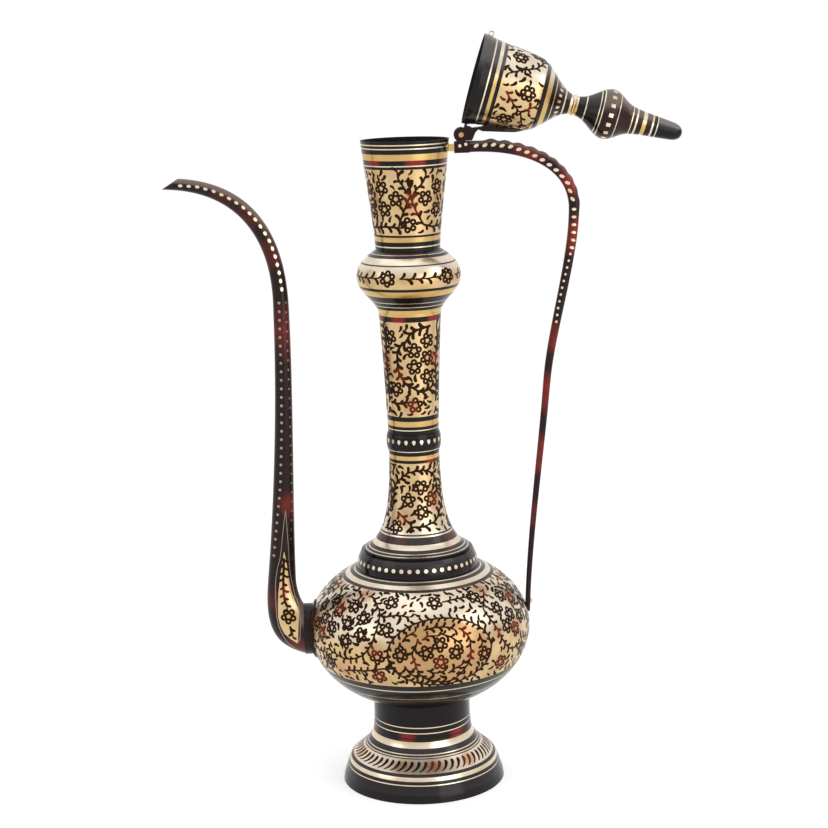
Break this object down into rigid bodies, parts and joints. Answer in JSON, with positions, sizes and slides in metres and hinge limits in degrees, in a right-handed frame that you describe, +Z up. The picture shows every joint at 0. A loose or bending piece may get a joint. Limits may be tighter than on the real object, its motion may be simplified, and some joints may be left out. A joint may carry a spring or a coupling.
{
  "type": "surahi ewer",
  "caption": "Tall long-necked enamelled brass ewer with a round belly on a flared foot, a swan-neck spout, a bow handle and a bell-shaped lid that swings open on a pin hinge.",
  "frame": {"origin": "on the vessel's axis, in the plane that the foot stands on", "axes": "+Z up along the vessel's axis, -X towards the spout, +X towards the handle and the hinge, Y along the hinge pin"},
  "size_m": [0.2969, 0.131, 0.4401],
  "materials": {
    "inlaid_brass": "brass, chased and inlaid with black and red lacquer, gloss",
    "black_lacquer": "brass covered with black lacquer, gloss",
    "red_lacquer": "brass covered with dark red and black lacquer, gloss",
    "plain_brass": "bare brass, turned"
  },
  "bodies": {
    "vessel": {"foot": "inlaid_brass", "stem_drum": "black_lacquer", "lower_bowl": "inlaid_brass", "upper_bowl": "inlaid_brass", "shoulder_collar": "black_lacquer", "lower_neck": "inlaid_brass", "neck_ring": "black_lacquer", "upper_neck": "inlaid_brass", "neck_bulb": "inlaid_brass", "mouth_cup": "inlaid_brass", "spout_flange": "black_lacquer", "spout": "black_lacquer", "handle": "red_lacquer", "handle_rivet": "plain_brass", "handle_lug": "plain_brass", "hinge_fork": "black_lacquer", "hinge_pin": "plain_brass"},
    "lid": {"lid_bell": "inlaid_brass", "lid_strap": "black_lacquer", "lid_loop": "plain_brass", "waist_ring": "plain_brass", "finial_nut": "plain_brass", "finial_bulb": "black_lacquer", "finial_spire": "black_lacquer"}
  },
  "joints": [
    {"name": "lid_hinge", "type": "hinge", "parent": "vessel", "child": "lid", "pos_m": [0.0321, 0, 0.38258], "axis": [0, -1, 0], "range_deg": [0, 106.4]}
  ]
}
